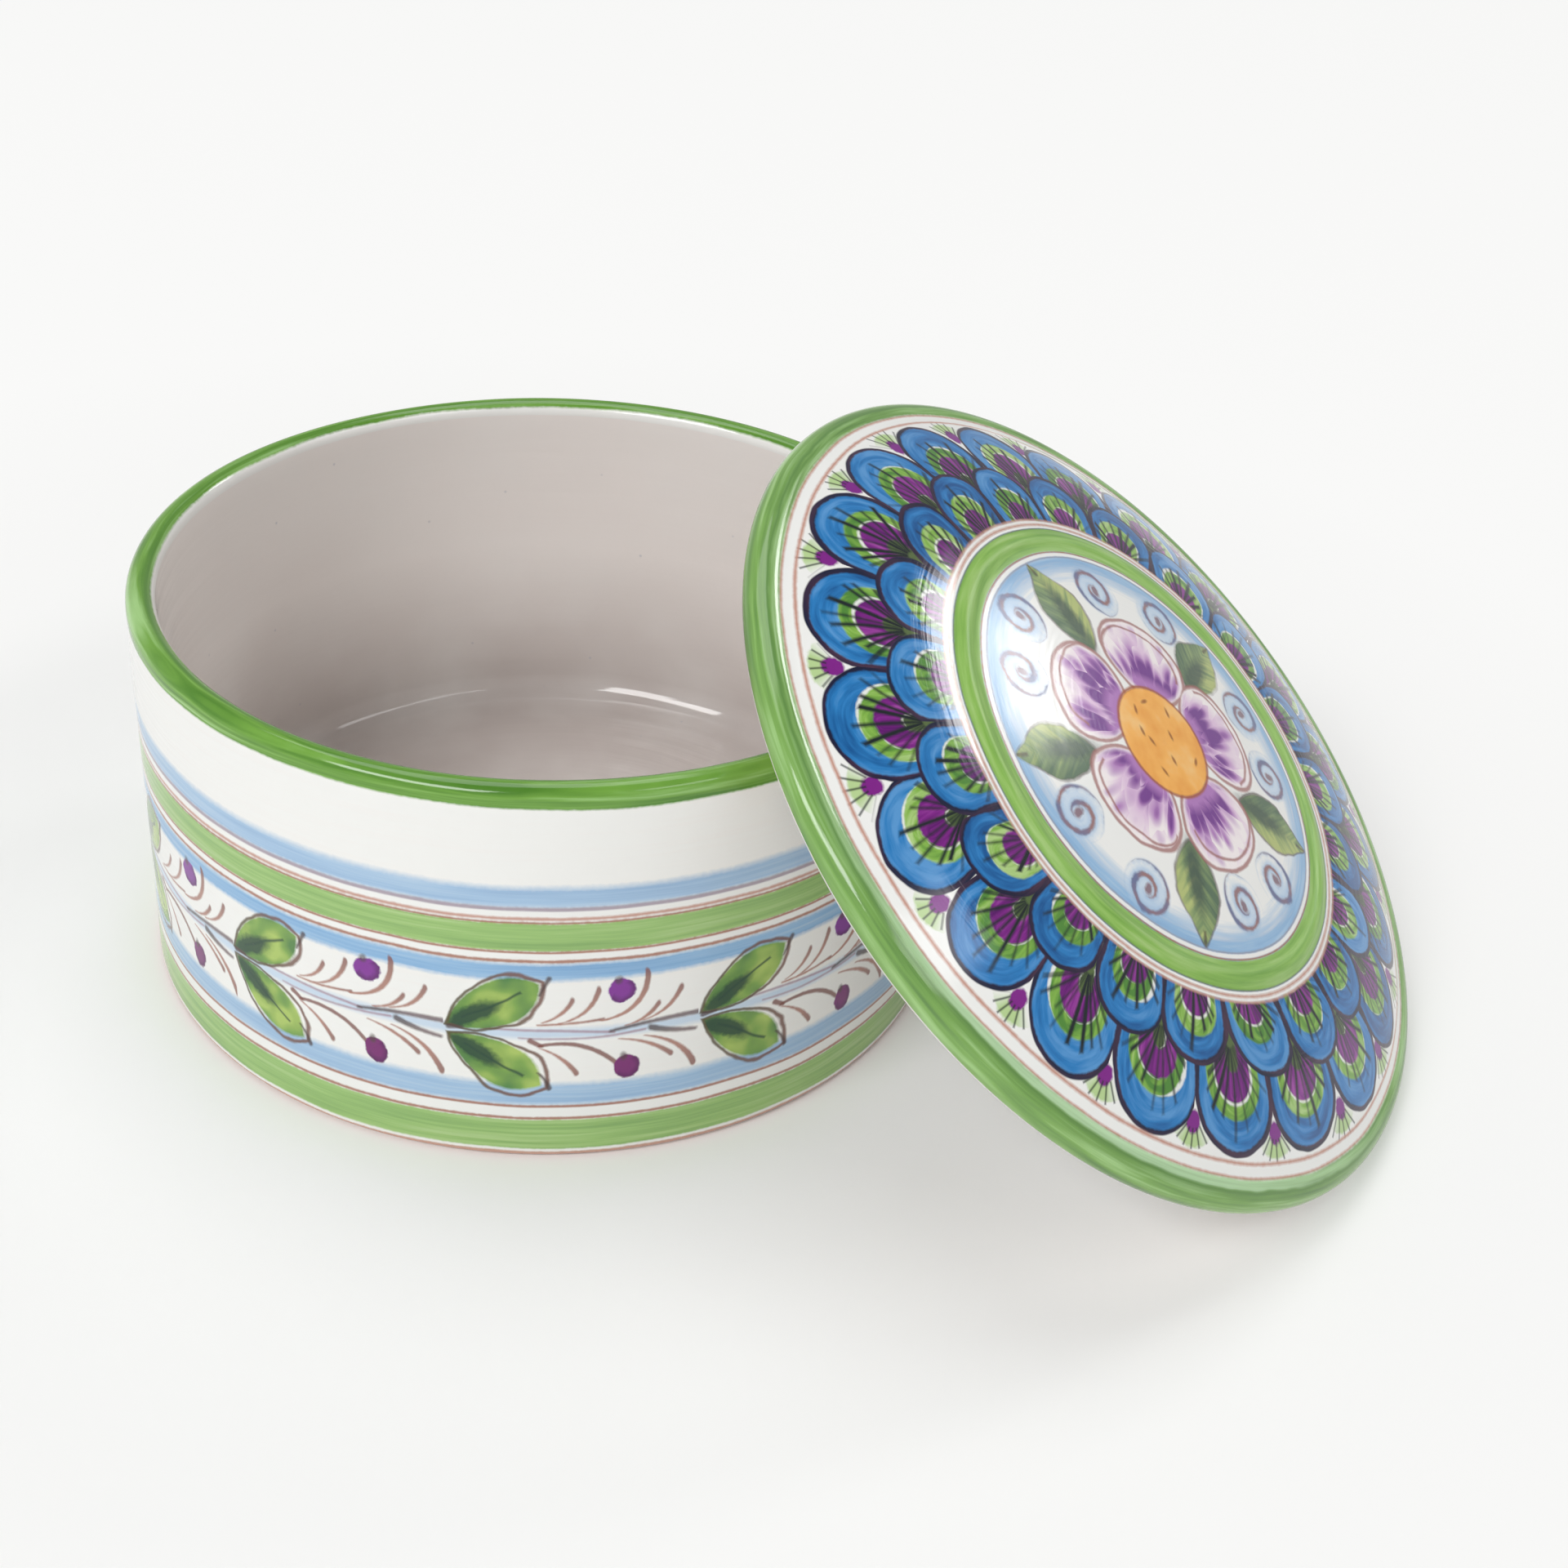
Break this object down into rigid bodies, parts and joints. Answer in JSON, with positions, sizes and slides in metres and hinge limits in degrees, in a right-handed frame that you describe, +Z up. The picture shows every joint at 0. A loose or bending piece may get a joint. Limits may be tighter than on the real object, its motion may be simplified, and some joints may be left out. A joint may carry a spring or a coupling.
{
  "type": "lidded ceramic box",
  "caption": "Round glazed ceramic box with a full-round lip, and its domed lid with a rolled rim, raised ring and locating flange, taken off and leaning on the box.",
  "frame": {"origin": "centre of the box's base, on the table", "axes": "+Z up along the box's axis, +X towards the side where the lid leans, -Y towards the viewer"},
  "size_m": [0.2693, 0.214, 0.1189],
  "materials": {
    "glazed_body": "gloss",
    "glazed_lid": "gloss"
  },
  "bodies": {
    "box": {"box_body": "glazed_body"},
    "lid": {"lid": "glazed_lid"}
  },
  "joints": [
    {"name": "lid_lift", "type": "slide", "parent": "box", "child": "lid", "axis": [0, 0, 1], "range_m": [0, 0.12]}
  ]
}
